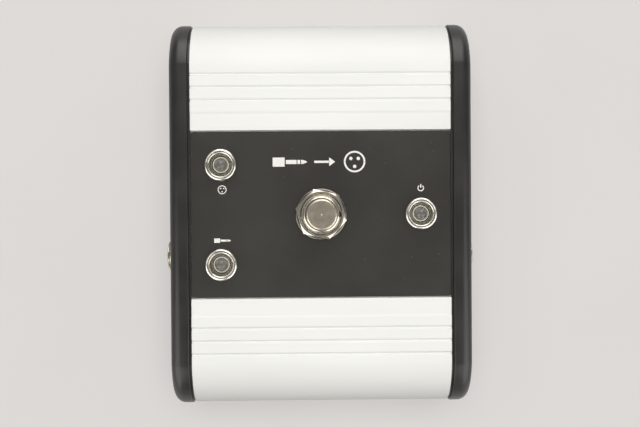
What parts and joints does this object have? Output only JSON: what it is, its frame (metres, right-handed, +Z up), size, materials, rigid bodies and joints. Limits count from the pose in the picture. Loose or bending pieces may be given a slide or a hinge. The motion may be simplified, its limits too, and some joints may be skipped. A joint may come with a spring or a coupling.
{
  "type": "direct injection box",
  "caption": "Stage-floor direct injection box with footswitch, indicator lights, balanced and unbalanced outputs, instrument jack, ground lift and power inlet.",
  "frame": {"origin": "on the floor under the middle of the box, level with the undersides of its feet", "axes": "+X to the right across the end caps, +Y to the back, +Z up out of the panel"},
  "size_m": [0.1004, 0.1206, 0.0606],
  "materials": {
    "anodised_shell": "satin bright anodised, extruded",
    "black_panel": "matte black with pale printed marks",
    "black_cap": "satin black moulding",
    "black_steel": "fine textured black",
    "foot_rubber": "matte",
    "nickel": "nickel plate, slightly scuffed",
    "contact_nickel": "plated contacts",
    "phenolic": "phenolic sheet",
    "brass": "bare",
    "spring_steel": "drawn wire",
    "chrome": "bright",
    "clear_lens": "clear moulded lens",
    "die_cast_zinc": "nickel plated die casting",
    "connector_plastic": "moulded, satin",
    "circuit_board": "solder mask green",
    "lamination": "varnished laminations",
    "winding": "varnished copper under tape",
    "relay_case": "moulded",
    "ribbon_cable": "flat cable"
  },
  "bodies": {
    "chassis": {"bottom_plate": "black_steel", "bottom_screw_1": "black_steel", "bottom_screw_2": "black_steel", "bottom_screw_3": "black_steel", "bottom_screw_4": "black_steel", "faceplate": "black_panel", "footswitch_backing_nut": "nickel", "footswitch_housing": "nickel", "footswitch_nut": "nickel", "footswitch_spring": "spring_steel", "footswitch_terminal_base": "phenolic", "footswitch_washer": "nickel", "ground_lift_switch": "connector_plastic", "instrument_jack": "connector_plastic", "instrument_jack_nut": "nickel", "instrument_jack_tip_spring": "contact_nickel", "left_cap_screw_1": "black_steel", "left_cap_screw_2": "black_steel", "left_cap_screw_3": "black_steel", "left_cap_screw_4": "black_steel", "left_end_cap": "black_cap", "main_board": "circuit_board", "output_jack": "connector_plastic", "output_jack_nut": "nickel", "output_jack_tip_spring": "contact_nickel", "output_relay": "relay_case", "power_jack": "connector_plastic", "power_jack_pin": "contact_nickel", "power_light_bezel": "chrome", "power_light_lamp": "clear_lens", "power_light_nut": "nickel", "quarter_inch_light_bezel": "chrome", "quarter_inch_light_lamp": "clear_lens", "quarter_inch_light_nut": "nickel", "right_cap_screw_1": "black_steel", "right_cap_screw_2": "black_steel", "right_cap_screw_3": "black_steel", "right_cap_screw_4": "black_steel", "right_end_cap": "black_cap", "rubber_foot_1": "foot_rubber", "rubber_foot_2": "foot_rubber", "rubber_foot_3": "foot_rubber", "rubber_foot_4": "foot_rubber", "switch_ribbon": "ribbon_cable", "top_shell": "anodised_shell", "transformer_core": "lamination", "transformer_winding": "winding", "xlr_insert": "connector_plastic", "xlr_light_bezel": "chrome", "xlr_light_lamp": "clear_lens", "xlr_light_nut": "nickel", "xlr_pin_1": "contact_nickel", "xlr_pin_2": "contact_nickel", "xlr_pin_3": "contact_nickel", "xlr_screw_1": "black_steel", "xlr_screw_2": "black_steel", "xlr_shell": "die_cast_zinc"},
    "button": {"footswitch_button": "nickel", "footswitch_contact_bridge": "brass"},
    "lift_slider": {"ground_lift_slider": "connector_plastic"}
  },
  "joints": [
    {"name": "footswitch_press", "type": "slide", "parent": "chassis", "child": "button", "axis": [0, 0, -1], "range_m": [0, 0.003], "stiffness_N_per_m": 3000, "deforming": ["footswitch_spring"]},
    {"name": "ground_lift_slide", "type": "slide", "parent": "chassis", "child": "lift_slider", "axis": [0, 0, 1], "range_m": [0, 0.0024]}
  ]
}
